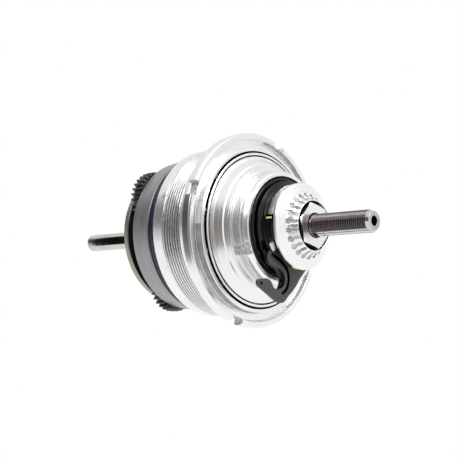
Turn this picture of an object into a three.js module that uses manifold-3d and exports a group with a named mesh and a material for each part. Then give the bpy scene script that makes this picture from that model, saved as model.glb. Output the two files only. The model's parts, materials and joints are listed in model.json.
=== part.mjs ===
// Internal unit of a rotary-shift, internal-gear bicycle hub, without its hub shell.
// Units are millimetres. The axle lies along Y, with the drive side towards -Y, and +Z is up.
// A station s is the distance towards the drive side from the outer face of the ball ring's flange.
// Three planetary stages stand in series from the driver (drive side) to the far end plate. Each carrier
// is driven, its sun gear is locked on the axle, and its ring gear drives the next carrier.
import * as THREE from 'three';
import { mergeVertices } from 'three/addons/utils/BufferGeometryUtils.js';
import Module from 'manifold-3d';

const wasm = await Module();
wasm.setup();

// Driving dimensions.
const AXLE_LEFT_END = -117.6;     // station of the left tip
const AXLE_DRIVE_END = 65.5;      // station of the drive-side end face
const AXLE_RADIUS = 5.15;         // 13/32 in axle
const LEFT_STUB_RADIUS = 4.35;
const AXLE_FLAT_DEPTH = 0.9;      // how far each wrench flat cuts into the axle
const FLANGE_RADIUS = 45;
const FLANGE_THICKNESS = 5;
const BARREL_RADIUS = 39.6;       // ball ring, over its external thread
const SPROCKET_SEAT_RADIUS = 27;
const PLANET_COUNT = 3;
const FIRST_PLANET_ANGLE = THREE.MathUtils.degToRad(134);
const GAP = 0.3;                  // clearance between neighbouring pieces
const RING_SEGMENTS = 36;         // facets round a large turned piece
const SMALL_SEGMENTS = 16;        // facets round a small turned piece

// Each stage: gear module, teeth, the gears' stations and the planet pin's radius.
const STAGES = [
  {
    module: 1.25, sun: 15, planet: 15, ring: 45,
    from: -19.3, to: -12.6, pinFrom: -19.6, pinTo: -10.4, pin: 3,
  },
  {
    module: 1.25, sun: 15, planet: 15, ring: 45,
    from: -44.5, to: -36.5, pinFrom: -44.3, pinTo: -31.4, pin: 3,
  },
  {
    module: 0.8, sun: 28, planet: 32, ring: 92,
    from: -52.6, to: -47.2, pinFrom: -56.8, pinTo: -45.2, pin: 3.5,
  },
];

// Finishes.
const FINISH = {
  polishedAluminium: { color: 0xdcdddf, roughness: 0.24, metalness: 1 },
  satinSteel: { color: 0xb9bbbe, roughness: 0.35, metalness: 1 },
  brightWasher: { color: 0xe4e5e7, roughness: 0.3, metalness: 1 },
  darkSteel: { color: 0x35383a, roughness: 0.45, metalness: 1 },
  gearSteel: { color: 0x4a4f4c, roughness: 0.5, metalness: 1 },
  sinteredGray: { color: 0x6b696e, roughness: 0.75, metalness: 0.4 },
  axleSteel: { color: 0x77736f, roughness: 0.35, metalness: 1 },
  plateSteel: { color: 0xb8b0a2, roughness: 0.4, metalness: 1 },
  blackPlastic: { color: 0x101012, roughness: 0.3, metalness: 0 },
  navyPlastic: { color: 0x17181f, roughness: 0.4, metalness: 0 },
  armGray: { color: 0x4b4b51, roughness: 0.6, metalness: 0.2 },
};

const unit = new THREE.Group();
const hub = new THREE.Group();    // its origin is the flange face, and station s lies at y = -s
hub.position.y = (AXLE_LEFT_END + AXLE_DRIVE_END) / 2;
unit.add(hub);

// ---- geometry helpers ----

function place(name, geometry, finish, parent = hub) {
  const mesh = new THREE.Mesh(geometry, new THREE.MeshStandardMaterial(FINISH[finish]));
  mesh.name = name;
  parent.add(mesh);
  return mesh;
}

// A closed [station, radius] outline, turned about the axle.
function turned(profile, segments = RING_SEGMENTS) {
  const points = profile.map(([s, r]) => new THREE.Vector2(r, -s));
  if (THREE.ShapeUtils.area(points) < 0) points.reverse();
  const onAxis = points.findIndex((p, i) => p.x === 0 && points[(i + 1) % points.length].x === 0);
  if (onAxis >= 0) {
    const start = onAxis + 1;
    return new THREE.LatheGeometry([...points.slice(start), ...points.slice(0, start)], segments);
  }
  return new THREE.LatheGeometry([...points, points[0].clone()], segments);
}

// A flat outline (x to the right, y up, seen from the drive side) between two stations.
function plate(shape, from, to, curveSegments = 6) {
  const geometry = new THREE.ExtrudeGeometry(shape, { depth: to - from, bevelEnabled: false, curveSegments });
  return geometry.rotateX(Math.PI / 2).translate(0, -from, 0);
}

// A polygon of `sides` on a circle, as a shape or a hole.
function circle(radius, sides, x = 0, y = 0, Kind = THREE.Shape) {
  const points = [];
  for (let i = 0; i < sides; i++) {
    const a = (2 * Math.PI * i) / sides;
    points.push(new THREE.Vector2(x + radius * Math.cos(a), y + radius * Math.sin(a)));
  }
  return new Kind(points);
}

// A rod along the axle's direction at (x, z), between two stations.
function rod(radius, from, to, sides, x = 0, z = 0) {
  return plate(circle(radius, sides, x, z), from, to);
}

function polar(radius, angle) {
  return new THREE.Vector2(radius * Math.cos(angle), radius * Math.sin(angle));
}

function solid(geometry) {
  const bare = geometry.index ? geometry.toNonIndexed() : geometry.clone();
  for (const name of Object.keys(bare.attributes)) if (name !== 'position') bare.deleteAttribute(name);
  const merged = mergeVertices(bare, 1e-4);
  const kept = [];
  for (let i = 0; i < merged.index.count; i += 3) {
    const [a, b, c] = [0, 1, 2].map((k) => merged.index.getX(i + k));
    if (a !== b && b !== c && c !== a) kept.push(a, b, c);
  }
  return new wasm.Manifold(new wasm.Mesh({
    numProp: 3,
    vertProperties: new Float32Array(merged.attributes.position.array),
    triVerts: new Uint32Array(kept),
  }));
}

function geometryOf(manifold) {
  const { vertProperties, triVerts } = manifold.getMesh();
  const geometry = new THREE.BufferGeometry();
  geometry.setAttribute('position', new THREE.BufferAttribute(new Float32Array(vertProperties), 3));
  geometry.setIndex(new THREE.BufferAttribute(new Uint32Array(triVerts), 1));
  return geometry;
}

function cut(base, ...tools) {
  return geometryOf(tools.reduce((body, tool) => body.subtract(solid(tool)), solid(base)));
}

function join(...pieces) {
  return geometryOf(pieces.map(solid).reduce((body, piece) => body.add(piece)));
}

// A box across the rim: `width` along the rim, reaching from `inner` outwards, at `angle`.
function rimCutter(angle, width, inner, outer, from, to) {
  const box = new THREE.BoxGeometry(outer - inner, to - from, width);
  box.translate((inner + outer) / 2, -(from + to) / 2, 0);
  return box.rotateY(-angle);
}

// ---- gears ----

const ADDENDUM = 0.92;            // tooth proportions, in modules
const DEDENDUM = 1.2;
const TIP_HALF = 0.3;
const ROOT_HALF = 0.98;

// Tooth outline of a spur gear; an internal gear's teeth point inwards.
function toothOutline(teeth, module, phase, internal = false) {
  const sign = internal ? -1 : 1;
  const pitch = (module * teeth) / 2;
  const tip = pitch + sign * ADDENDUM * module;
  const root = pitch - sign * DEDENDUM * module;
  const points = [];
  for (let i = 0; i < teeth; i++) {
    const centre = phase + (2 * Math.PI * i) / teeth;
    points.push(polar(root, centre - (ROOT_HALF * module) / root));
    points.push(polar(tip, centre - (TIP_HALF * module) / tip));
    points.push(polar(tip, centre + (TIP_HALF * module) / tip));
    points.push(polar(root, centre + (ROOT_HALF * module) / root));
  }
  return points;
}

function externalGear(teeth, module, phase, boreRadius, boreSides, from, to) {
  const shape = new THREE.Shape(toothOutline(teeth, module, phase));
  shape.holes.push(circle(boreRadius, boreSides, 0, 0, THREE.Path));
  return plate(shape, from, to);
}

function internalTeeth(teeth, module, phase, outerRadius, from, to) {
  const shape = circle(outerRadius, RING_SEGMENTS);
  shape.holes.push(new THREE.Path(toothOutline(teeth, module, phase, true)));
  return plate(shape, from, to);
}

const planetAngles = Array.from(
  { length: PLANET_COUNT },
  (_, i) => FIRST_PLANET_ANGLE + (2 * Math.PI * i) / PLANET_COUNT,
);

function planetOrbit({ module, sun, planet }) {
  return (module * (sun + planet)) / 2;
}

// Turn of a planet at `angle` that puts its gap on the sun's tooth, the sun having a tooth at angle 0.
function planetPhase({ sun, planet }, angle) {
  return angle + Math.PI - Math.PI / planet + (angle * sun) / planet;
}

// Turn of the ring gear that meshes with the planets.
function ringPhase(stage) {
  const angle = planetAngles[0];
  const planetTurns = ((angle - planetPhase(stage, angle)) * stage.planet) / (2 * Math.PI);
  return angle - ((2 * Math.PI) / stage.ring) * (0.5 + planetTurns);
}

function pinHoles(stage, from, to) {
  return planetAngles.map((angle) => {
    const { x, y } = polar(planetOrbit(stage), angle);
    return rod(stage.pin + GAP, from, to, 12, x, y);
  });
}

// Sun gear, planets and planet pins of one stage.
function addStage(stage, number) {
  const sunBore = AXLE_RADIUS + GAP;
  const sun = externalGear(stage.sun, stage.module, 0, sunBore, SMALL_SEGMENTS, stage.from, stage.to);
  place(`sun_gear_${number}`, sun, 'gearSteel');
  planetAngles.forEach((angle, i) => {
    const seat = new THREE.Group();
    const { x, y } = polar(planetOrbit(stage), angle);
    seat.position.set(x, 0, y);
    hub.add(seat);
    const phase = planetPhase(stage, angle);
    const label = `${number}_${i + 1}`;
    const gear = externalGear(stage.planet, stage.module, phase, stage.pin + GAP, 12, stage.from, stage.to);
    place(`planet_gear_${label}`, gear, 'gearSteel', seat);
    place(`planet_pin_${label}`, rod(stage.pin, stage.pinFrom, stage.pinTo, 12), 'darkSteel', seat);
  });
}

STAGES.forEach((stage, i) => addStage(stage, i + 1));
const [stage1, stage2, stage3] = STAGES;

// ---- axle and what is fixed on it ----

const FLAT_FROM = 35;             // station where the wrench flats start
const FLAT_ANGLES = [250, 70];

function axle() {
  const r = AXLE_RADIUS;
  const collar = 7.2;
  const body = turned([
    [AXLE_LEFT_END, 0], [AXLE_LEFT_END, 3.3], [AXLE_LEFT_END + 1.1, LEFT_STUB_RADIUS],
    [-58.6, LEFT_STUB_RADIUS], [-57.8, r],
    [-46.6, r], [-46.6, collar], [-45.2, collar], [-45.2, r],
    [-36.2, r], [-36.2, collar], [-34.5, collar], [-34.5, r],
    [-12.3, r], [-12.3, collar], [-10.6, collar], [-10.6, r],
    [AXLE_DRIVE_END - 1.6, r], [AXLE_DRIVE_END, 3.9], [AXLE_DRIVE_END, 1.7],
    [AXLE_DRIVE_END - 3.2, 0],
  ], SMALL_SEGMENTS);
  const flats = FLAT_ANGLES.map((degrees) => (
    rimCutter(THREE.MathUtils.degToRad(degrees), 20, r - AXLE_FLAT_DEPTH, r + 4, FLAT_FROM, AXLE_DRIVE_END + 2)
  ));
  return cut(body, ...flats);
}

function driveCone() {
  const bore = AXLE_RADIUS + GAP;
  return turned([[8.9, bore], [8.9, 8.2], [11, 10.4], [16.7, 10.4], [16.7, bore]], SMALL_SEGMENTS);
}

function lockWasher() {
  const bore = AXLE_RADIUS + GAP;
  return turned([
    [25.3, bore], [25.3, 18.5], [25.9, 19.4], [27, 19.4], [27.5, 18.8],
    [29.3, 14.3], [31.4, 12.4], [33.3, 11.7], [33.6, 11.3], [33.3, 11],
    [28.3, 11.0], [28.3, bore],
  ], 32);
}

function hexLocknut() {
  const hexagon = circle(10.6, 6);
  hexagon.holes.push(circle(AXLE_RADIUS + GAP, 18, 0, 0, THREE.Path));
  const blank = plate(hexagon, 28.6, 34);
  return blank.rotateY(THREE.MathUtils.degToRad(-42));
}

place('axle', axle(), 'axleSteel');
place('drive_cone', driveCone(), 'satinSteel');
place('lock_washer', lockWasher(), 'brightWasher');
place('hex_locknut', hexLocknut(), 'brightWasher');

// ---- shifter: pulley, cable arm, return spring and cam sleeve ----

const PULLEY_BACK = 17.2;         // stations of the pulley
const PULLEY_FRONT = 24.9;
const PULLEY_STEP = 21.4;
const SPRING_RADIUS = 10.6;
const ARM_FRONT = 23.4;
const HUB_RADIUS = 15.4;
const INDEX_RADIUS = 18.9;        // outside of the index wall and of the guide ring

// A ring sector from angle a to angle b, in degrees.
function sector(inner, outer, a, b) {
  const steps = Math.ceil((b - a) / 12);
  const at = (i) => THREE.MathUtils.degToRad(a + ((b - a) * i) / steps);
  const points = [];
  for (let i = 0; i <= steps; i++) points.push(polar(outer, at(i)));
  for (let i = steps; i >= 0; i--) points.push(polar(inner, at(i)));
  return new THREE.Shape(points);
}

// Black liner behind the arm, which leads the cable from the pulley's groove to the hook.
function cableLiner() {
  const v = (x, z) => new THREE.Vector2(x, z);
  const shape = new THREE.Shape();
  shape.moveTo(-13.5, -10.5);
  shape.splineThru([v(-15.4, -16.4), v(-11.8, -19.2), v(-10, -22.4), v(-10.6, -25.8), v(-13, -28)]);
  shape.lineTo(-13.6, -30.6);
  shape.splineThru([v(-9.6, -30), v(-6, -26.6), v(-4.8, -22), v(-5.5, -17)]);
  return shape;
}

function pulley() {
  const body = turned([
    [PULLEY_BACK, 7.6], [PULLEY_BACK, 20.4], [17.8, 21], [18.7, 21], [19.2, 19.6],
    [20.2, 19.1], [PULLEY_STEP, 19.1], [PULLEY_STEP, HUB_RADIUS], [PULLEY_FRONT, HUB_RADIUS],
    [PULLEY_FRONT, 12.6], [18.4, 12.6], [18.4, 7.6],
  ], 28);
  const indexWall = plate(sector(HUB_RADIUS - 0.8, INDEX_RADIUS, 166, 202), PULLEY_STEP - 0.5, PULLEY_FRONT);
  return join(body, indexWall, plate(cableLiner(), PULLEY_STEP - 2, PULLEY_STEP, 2));
}

function guideRing() {
  return plate(sector(HUB_RADIUS + GAP, INDEX_RADIUS, -66, 164), PULLEY_STEP + GAP, PULLEY_FRONT);
}

// A band of constant width along a curve.
function band(points, width, steps) {
  const curve = new THREE.SplineCurve(points);
  const left = [];
  const right = [];
  for (let i = 0; i <= steps; i++) {
    const p = curve.getPoint(i / steps);
    const t = curve.getTangent(i / steps);
    const n = new THREE.Vector2(-t.y, t.x).multiplyScalar(width / 2);
    left.push(p.clone().add(n));
    right.push(p.clone().sub(n));
  }
  return new THREE.Shape([...left, ...right.reverse()]);
}

// Flat cable arm: an arc round the pulley's hub, a pointed tip, and a hook with a slot behind it.
function shiftArm() {
  const v = (x, z) => new THREE.Vector2(x, z);
  const shape = new THREE.Shape();
  shape.absarc(0, 0, HUB_RADIUS + GAP, THREE.MathUtils.degToRad(206), THREE.MathUtils.degToRad(287), false);
  shape.lineTo(5.4, -19.2);
  shape.lineTo(-9.9, -32.2);
  shape.quadraticCurveTo(-11.6, -33.9, -15.4, -32.9);
  shape.lineTo(-26.8, -25.6);
  shape.quadraticCurveTo(-29.2, -23.4, -26.2, -22.3);
  shape.splineThru([
    v(-22, -22.3), v(-19.4, -23.5), v(-18.2, -25.6), v(-16.4, -27.1), v(-14.2, -27.2), v(-11.2, -26),
    v(-10, -23.4), v(-10.5, -20.8), v(-12.8, -18.6), v(-17.2, -17.2), v(-20.4, -15.6), v(-21.2, -13.2),
    v(-19.8, -10.7), v(-17, -8.4),
  ]);
  const slot = band([
    v(-18.2, -11.9), v(-14.6, -13.5), v(-10.9, -15.8), v(-8.4, -18.6), v(-7.4, -21.7), v(-7.8, -24.9),
    v(-9.3, -27.6), v(-12.4, -29.5),
  ], 1.6, 10);
  return cut(plate(shape, PULLEY_STEP + GAP, ARM_FRONT, 2), plate(slot, PULLEY_STEP, ARM_FRONT + 1));
}

// Small bent lug on the arm's root.
function springLug() {
  const lug = new THREE.BoxGeometry(2.4, 1, 3);
  lug.translate(18.3, -(ARM_FRONT + GAP) - 0.5, 0);
  return lug.rotateY(-THREE.MathUtils.degToRad(208));
}

class Helix extends THREE.Curve {
  constructor(radius, turns, from, to) {
    super();
    Object.assign(this, { radius, turns, from, to });
  }

  getPoint(t, target = new THREE.Vector3()) {
    const a = 2 * Math.PI * this.turns * t;
    const s = this.from + (this.to - this.from) * t;
    return target.set(this.radius * Math.cos(a), -s, this.radius * Math.sin(a));
  }
}

function returnSpring() {
  const turns = 2.5;
  const path = new Helix(SPRING_RADIUS, turns, 19.4, 23.8);
  const settings = { extrudePath: path, steps: turns * 10, bevelEnabled: false };
  return new THREE.ExtrudeGeometry(circle(0.6, 5), settings);
}

function camSleeve() {
  const bore = AXLE_RADIUS + GAP;
  const body = turned([[-10.2, bore], [-10.2, 7.4], [8.5, 7.4], [8.5, bore]], SMALL_SEGMENTS);
  const lobeGaps = [0, 2, 4].map((i) => rimCutter((i * Math.PI) / 3, 3, 6.6, 9, -10.4 + i, -5 + i));
  return cut(body, ...lobeGaps);
}

place('cable_pulley', pulley(), 'blackPlastic');
place('guide_ring', guideRing(), 'satinSteel');
place('shift_arm', shiftArm(), 'armGray');
place('spring_lug', springLug(), 'satinSteel');
place('return_spring', returnSpring(), 'darkSteel');
place('cam_sleeve', camSleeve(), 'gearSteel');

// ---- driver, which is also the first carrier ----

const SEAT_NOTCH_ANGLES = [80, 200, 320];

function driver() {
  const seat = SPROCKET_SEAT_RADIUS;
  const body = turned([
    [-9.9, 9], [-9.9, 26], [-7.4, 30.4], [0.3, 30.4], [0.3, 33.9], [2, 33.9],
    [6, 30.2], [8, 28.4], [8.8, 28.4], [8.8, seat], [13.3, seat], [13.3, seat - 1.4], [14.3, seat - 1.4],
    [14.3, 26.2], [16.2, 25.6], [16.6, 25.1], [16.6, 23.3], [12, 23.3], [12, 15.8], [7, 15.8], [7, 9],
  ]);
  const notches = SEAT_NOTCH_ANGLES.map((degrees) => (
    rimCutter(THREE.MathUtils.degToRad(degrees), 5, seat - 1.5, seat + 6, 8.8, 18)
  ));
  return cut(body, ...notches);
}

function dustCap() {
  return turned([
    [12.3, 11.2], [12.3, 23], [16.4, 23], [16.9, 22.5], [16.9, 11.2],
  ], 28);
}

function carrierPlate(stage, from, to, inner, outer) {
  const disc = turned([[from, inner], [from, outer], [to, outer], [to, inner]], 28);
  return cut(disc, ...pinHoles(stage, from - 1, to + 1));
}

place('driver', driver(), 'polishedAluminium');
place('dust_cap', dustCap(), 'blackPlastic');
place('carrier_1', carrierPlate(stage1, -12.1, -10.2, 10, 25.5), 'satinSteel');

// ---- second rotating unit: first ring gear and second carrier ----

function ringGear1() {
  const cup = turned([
    [-22, 13.2], [-22, 33], [-21, 34], [-11.7, 34], [-11.7, 30.2], [-20.1, 30.2], [-20.1, 13.2],
  ]);
  return join(cup, internalTeeth(stage1.ring, stage1.module, ringPhase(stage1), 31, -19.9, -12));
}

function carrier2() {
  const body = turned([
    [-33.2, 9.5], [-33.2, 25.5], [-31.2, 25.5], [-31.2, 15], [-22.3, 15], [-22.3, 9.5],
  ], 28);
  return cut(body, ...pinHoles(stage2, -34.2, -30.9));
}

place('ring_gear_1', ringGear1(), 'gearSteel');
place('carrier_2', carrier2(), 'satinSteel');

// ---- third rotating unit: second ring gear, which carries the far planets, and the end plate ----

function ringGear2() {
  const cup = turned([
    [-46.6, 9.5], [-46.6, 35], [-46, 35.7], [-35, 36.9], [-34.6, 36.6], [-34.6, 32.4],
    [-33.7, 32.4], [-33.7, 30.6], [-45, 30.6], [-45, 9.5],
  ]);
  const teeth = internalTeeth(stage2.ring, stage2.module, ringPhase(stage2), 31.6, -44.8, -36.1);
  return cut(join(cup, teeth), ...pinHoles(stage3, -47.6, -44.2));
}

function sealBand() {
  return turned([[-34.3, 32.7], [-34.3, 36.4], [-30.1, 36.4], [-29.6, 35.9], [-29.6, 32.7]]);
}

function endPlate() {
  const disc = turned([
    [-57, 5.8], [-57, 31.2], [-56.5, 31.8], [-54.4, 31.8], [-54, 31.4], [-54, 5.8],
  ]);
  return cut(disc, ...pinHoles(stage3, -58, -53));
}

place('ring_gear_2', ringGear2(), 'sinteredGray');
place('seal_band', sealBand(), 'navyPlastic');
place('end_plate', endPlate(), 'plateSteel');

// ---- ball ring, which screws into the hub shell ----

const SPANNER_NOTCH_ANGLES = [65, 155, 248, 335];
const SPANNER_NOTCH_WIDTH = 6.6;

function ballRing() {
  const body = turned([
    [-29.3, 38.4], [-28.3, BARREL_RADIUS], [-FLANGE_THICKNESS, BARREL_RADIUS],
    [-FLANGE_THICKNESS, 44.4], [-4.4, FLANGE_RADIUS], [-0.6, FLANGE_RADIUS], [0, 44.4],
    [0, 42], [-2.6, 41.8], [-2.6, 38.4], [0.8, 38.2], [1, 37.9], [1, 36.4],
    [-0.7, 36.4], [-0.7, 35.7], [-6.4, 35.7], [-6.8, 34.2], [-9, 34.2], [-9, 36.1], [-29.3, 36.1],
  ]);
  const notches = SPANNER_NOTCH_ANGLES.map((degrees) => (
    rimCutter(THREE.MathUtils.degToRad(degrees), SPANNER_NOTCH_WIDTH, 42.1, 48, -FLANGE_THICKNESS - 1, 2)
  ));
  return cut(body, ...notches);
}

function dustShield() {
  return turned([[0.6, 34.4], [0.6, 35.6], [1.5, 35.6], [1.9, 35.2], [1.9, 34.4]]);
}

place('ball_ring', ballRing(), 'polishedAluminium');
place('dust_shield', dustShield(), 'satinSteel');

// ---- ball bearings: balls held by their cage ----

function ballCage(count, ballRadius, orbit, station, cageFrom, cageTo, cageHalfWidth) {
  const inner = orbit - cageHalfWidth;
  const outer = orbit + cageHalfWidth;
  const cage = turned([[cageFrom, inner], [cageFrom, outer], [cageTo, outer], [cageTo, inner]], 24);
  const balls = Array.from({ length: count }, (_, i) => {
    const { x, y } = polar(orbit, (2 * Math.PI * (i + 0.5)) / count);
    return new THREE.SphereGeometry(ballRadius, 6, 4).translate(x, -station, y);
  });
  return join(cage, ...balls);
}

place('main_ball_cage', ballCage(12, 2.3, 33.05, -3.3, -6, -5, 1.4), 'satinSteel');
place('cone_ball_cage', ballCage(8, 2.2, 13.1, 9.6, 11.1, 11.9, 1.2), 'satinSteel');

export default unit;
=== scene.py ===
"""Looks of the internal unit of a rotary-shift bicycle hub gear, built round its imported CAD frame."""

import json
import math

import bmesh
import bpy
from mathutils import Matrix, Vector


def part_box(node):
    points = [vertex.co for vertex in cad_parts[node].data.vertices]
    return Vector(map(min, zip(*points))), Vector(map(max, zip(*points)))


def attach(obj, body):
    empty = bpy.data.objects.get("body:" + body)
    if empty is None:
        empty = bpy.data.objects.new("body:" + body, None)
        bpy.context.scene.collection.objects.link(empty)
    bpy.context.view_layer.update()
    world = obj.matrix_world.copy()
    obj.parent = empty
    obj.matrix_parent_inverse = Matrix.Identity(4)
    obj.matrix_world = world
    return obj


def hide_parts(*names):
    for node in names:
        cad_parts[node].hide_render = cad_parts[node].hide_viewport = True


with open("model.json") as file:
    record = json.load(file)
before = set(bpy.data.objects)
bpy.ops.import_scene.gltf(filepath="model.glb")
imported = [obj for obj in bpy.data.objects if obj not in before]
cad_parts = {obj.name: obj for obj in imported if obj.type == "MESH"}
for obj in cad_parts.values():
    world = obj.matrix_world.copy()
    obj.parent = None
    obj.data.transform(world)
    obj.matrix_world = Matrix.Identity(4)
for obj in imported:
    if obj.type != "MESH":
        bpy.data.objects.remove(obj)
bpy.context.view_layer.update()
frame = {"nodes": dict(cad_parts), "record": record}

MM = 0.001
TAU = 2 * math.pi

# ---- dimensions, in millimetres; a station is the distance towards the drive side from the flange face ----

AXLE_DRIVE_END = 65.5
AXLE_LEFT_END = -117.6
AXLE_RADIUS = 5.15
LEFT_STUB_RADIUS = 4.35
THREAD_PITCH = 25.4 / 26
THREAD_DEPTH = 0.55
AXLE_FLAT_LEVEL = 4.25
AXLE_FLAT_ANGLES = (math.radians(250), math.radians(70))
FLANGE_RADIUS = 45.0
BARREL_RADIUS = 39.6
BARREL_PITCH = 1.55
BARREL_DEPTH = 0.75
SEAT_RADIUS = 27.0
FIRST_PLANET_ANGLE = math.radians(134)

FLANGE_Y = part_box("axle")[0][1] + AXLE_DRIVE_END * MM


def at(station, x, z):
    """A point in the row frame, in metres, from a station and a place across the axle in millimetres."""
    return Vector((x * MM, FLANGE_Y - station * MM, z * MM))


def polar(radius, angle):
    return radius * math.cos(angle), radius * math.sin(angle)


# ---- mesh helpers ----

def finish_mesh(name, mesh, material, smooth_angle=35):
    """Makes the object, shades it smooth with sharp edges, and gives it its material."""
    mesh.validate()
    work = bmesh.new()
    work.from_mesh(mesh)
    bmesh.ops.recalc_face_normals(work, faces=work.faces)
    work.to_mesh(mesh)
    work.free()
    mesh.shade_smooth()
    mesh.set_sharp_from_angle(angle=math.radians(smooth_angle))
    mesh.materials.clear()
    mesh.materials.append(material)
    piece = bpy.data.objects.new(name, mesh)
    bpy.context.scene.collection.objects.link(piece)
    return piece


SUPPORT = 0.012     # how far past an arc the extra point lies that keeps the flat beside it flat when shaded


def rounded(outline, fillet=0.2, steps=3):
    """A closed outline with each corner replaced by a small arc. A point's third value is its own fillet."""
    result = []
    count = len(outline)
    for i, point in enumerate(outline):
        corner = Vector(point[:2])
        radius = point[2] if len(point) > 2 else fillet
        before = Vector(outline[i - 1][:2]) - corner
        after = Vector(outline[(i + 1) % count][:2]) - corner
        reach = min(before.length, after.length) * 0.4
        turn = before.angle(after, math.pi)
        if radius <= 0 or turn > math.radians(172):
            result.append(tuple(corner))
            continue
        offset = min(radius / math.tan(turn / 2), reach)
        start = corner + before.normalized() * offset
        end = corner + after.normalized() * offset
        result.append(tuple(start + before.normalized() * SUPPORT))
        for k in range(steps + 1):
            t = k / steps
            p = start * (1 - t) ** 2 + corner * (2 * t * (1 - t)) + end * t ** 2
            result.append(tuple(p))
        result.append(tuple(end + after.normalized() * SUPPORT))
    return result


def subdivided(outline, start, end, spacing):
    """The outline with points at most `spacing` apart on each edge that lies between two stations."""
    result = []
    for i, p in enumerate(outline):
        q = outline[(i + 1) % len(outline)]
        result.append(p)
        inside = all(start - 1e-6 <= v[0] <= end + 1e-6 for v in (p, q))
        length = math.dist(p, q)
        if inside and length > spacing:
            parts = math.ceil(length / spacing)
            result += [tuple(a + (b - a) * k / parts for a, b in zip(p, q)) for k in range(1, parts)]
    return result


def revolved_mesh(name, outline, segments=192, relief=None):
    """Turns a closed (station, radius) outline about the axle. relief(station, radius, angle) gives the
    surface's own station and radius. An outline that starts and ends at radius 0 is closed on the axle."""
    mesh = bpy.data.meshes.new(name)
    on_axis = outline[0][1] == 0 and outline[-1][1] == 0
    vertices, faces, rings = [], [], []
    for s, r in outline:
        if r == 0:
            rings.append([len(vertices)] * segments)
            vertices.append(at(s, 0, 0))
            continue
        rings.append(list(range(len(vertices), len(vertices) + segments)))
        for k in range(segments):
            angle = TAU * k / segments
            station, radius = relief(s, r, angle) if relief else (s, r)
            vertices.append(at(station, *polar(radius, angle)))
    pairs = list(zip(rings, rings[1:]))
    if not on_axis:
        pairs.append((rings[-1], rings[0]))
    for a, b in pairs:
        for k in range(segments):
            n = (k + 1) % segments
            corners = [a[k], a[n], b[n], b[k]]
            unique = list(dict.fromkeys(corners))
            if len(unique) > 2:
                faces.append(unique)
    mesh.from_pydata(vertices, [], faces)
    return mesh


def plate_mesh(name, outlines, start, end, bevel=0.12, steps=2):
    """A bevelled plate between two stations. The first outline is its edge, the others are holes."""
    curve = bpy.data.curves.new(name, "CURVE")
    curve.dimensions = "2D"
    curve.fill_mode = "BOTH"
    curve.extrude = (end - start) / 2 - bevel
    curve.bevel_depth = bevel
    curve.bevel_resolution = steps
    curve.offset = -bevel
    for outline in outlines:
        spline = curve.splines.new("POLY")
        spline.points.add(len(outline) - 1)
        for point, (x, z) in zip(spline.points, outline):
            point.co = (x, z, 0, 1)
        spline.use_cyclic_u = True
    holder = bpy.data.objects.new(name + "_curve", curve)
    bpy.context.scene.collection.objects.link(holder)
    depsgraph = bpy.context.evaluated_depsgraph_get()
    mesh = bpy.data.meshes.new_from_object(holder.evaluated_get(depsgraph))
    bpy.data.objects.remove(holder)
    bpy.data.curves.remove(curve)
    middle = (start + end) / 2
    for v in mesh.vertices:
        x, z, depth = v.co
        v.co = at(middle + depth, x, z)
    work = bmesh.new()
    work.from_mesh(mesh)
    bmesh.ops.remove_doubles(work, verts=work.verts, dist=1e-7)
    work.to_mesh(mesh)
    work.free()
    return mesh


def joined(name, *meshes):
    """One mesh from several."""
    work = bmesh.new()
    for mesh in meshes:
        work.from_mesh(mesh)
    result = bpy.data.meshes.new(name)
    work.to_mesh(result)
    work.free()
    return result


def boolean(mesh, cutters):
    """The mesh after cutting each cutter mesh out of it."""
    base = bpy.data.objects.new("boolean_base", mesh)
    bpy.context.scene.collection.objects.link(base)
    tools = []
    for i, cutter in enumerate(cutters):
        tool = bpy.data.objects.new(f"boolean_tool_{i}", cutter)
        bpy.context.scene.collection.objects.link(tool)
        modifier = base.modifiers.new(f"cut_{i}", "BOOLEAN")
        modifier.operation = "DIFFERENCE"
        modifier.solver = "EXACT"
        modifier.object = tool
        tools.append(tool)
    depsgraph = bpy.context.evaluated_depsgraph_get()
    result = bpy.data.meshes.new_from_object(base.evaluated_get(depsgraph))
    for thing in [base, *tools]:
        bpy.data.objects.remove(thing)
    return result


def block_mesh(centre, size, angle=0.0, bevel=0.3, steps=2):
    """A bevelled block. centre is (station, radius), size is (along the axle, radial, along the rim)."""
    station, radius = centre
    work = bmesh.new()
    bmesh.ops.create_cube(work, size=1)
    for v in work.verts:
        v.co = Vector((v.co.x * size[1], v.co.y * size[0], v.co.z * size[2])) * MM
    if bevel:
        bmesh.ops.bevel(work, geom=work.edges, offset=bevel * MM, segments=steps, profile=0.5, affect="EDGES")
    place = Matrix.Translation(at(station, 0, 0)) @ Matrix.Rotation(-angle, 4, "Y")
    place = place @ Matrix.Translation((radius * MM, 0, 0))
    bmesh.ops.transform(work, matrix=place, verts=work.verts)
    mesh = bpy.data.meshes.new("block")
    work.to_mesh(mesh)
    work.free()
    return mesh


def piece_for(nodes, body, name, mesh, material, smooth_angle=35):
    """A finished piece that stands for CAD nodes: it rides on their body, and the nodes are hidden."""
    piece = finish_mesh(name, mesh, material, smooth_angle)
    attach(piece, body)
    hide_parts(*nodes)
    return piece


def paint_faces(piece, material, chosen):
    """Gives a material to the faces that chosen(station, radius, angle, normal) picks."""
    piece.data.materials.append(material)
    index = len(piece.data.materials) - 1
    for face in piece.data.polygons:
        x, y, z = face.center
        if chosen((FLANGE_Y - y) / MM, math.hypot(x, z) / MM, math.atan2(z, x), face.normal):
            face.material_index = index


# ---- materials ----

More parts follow.
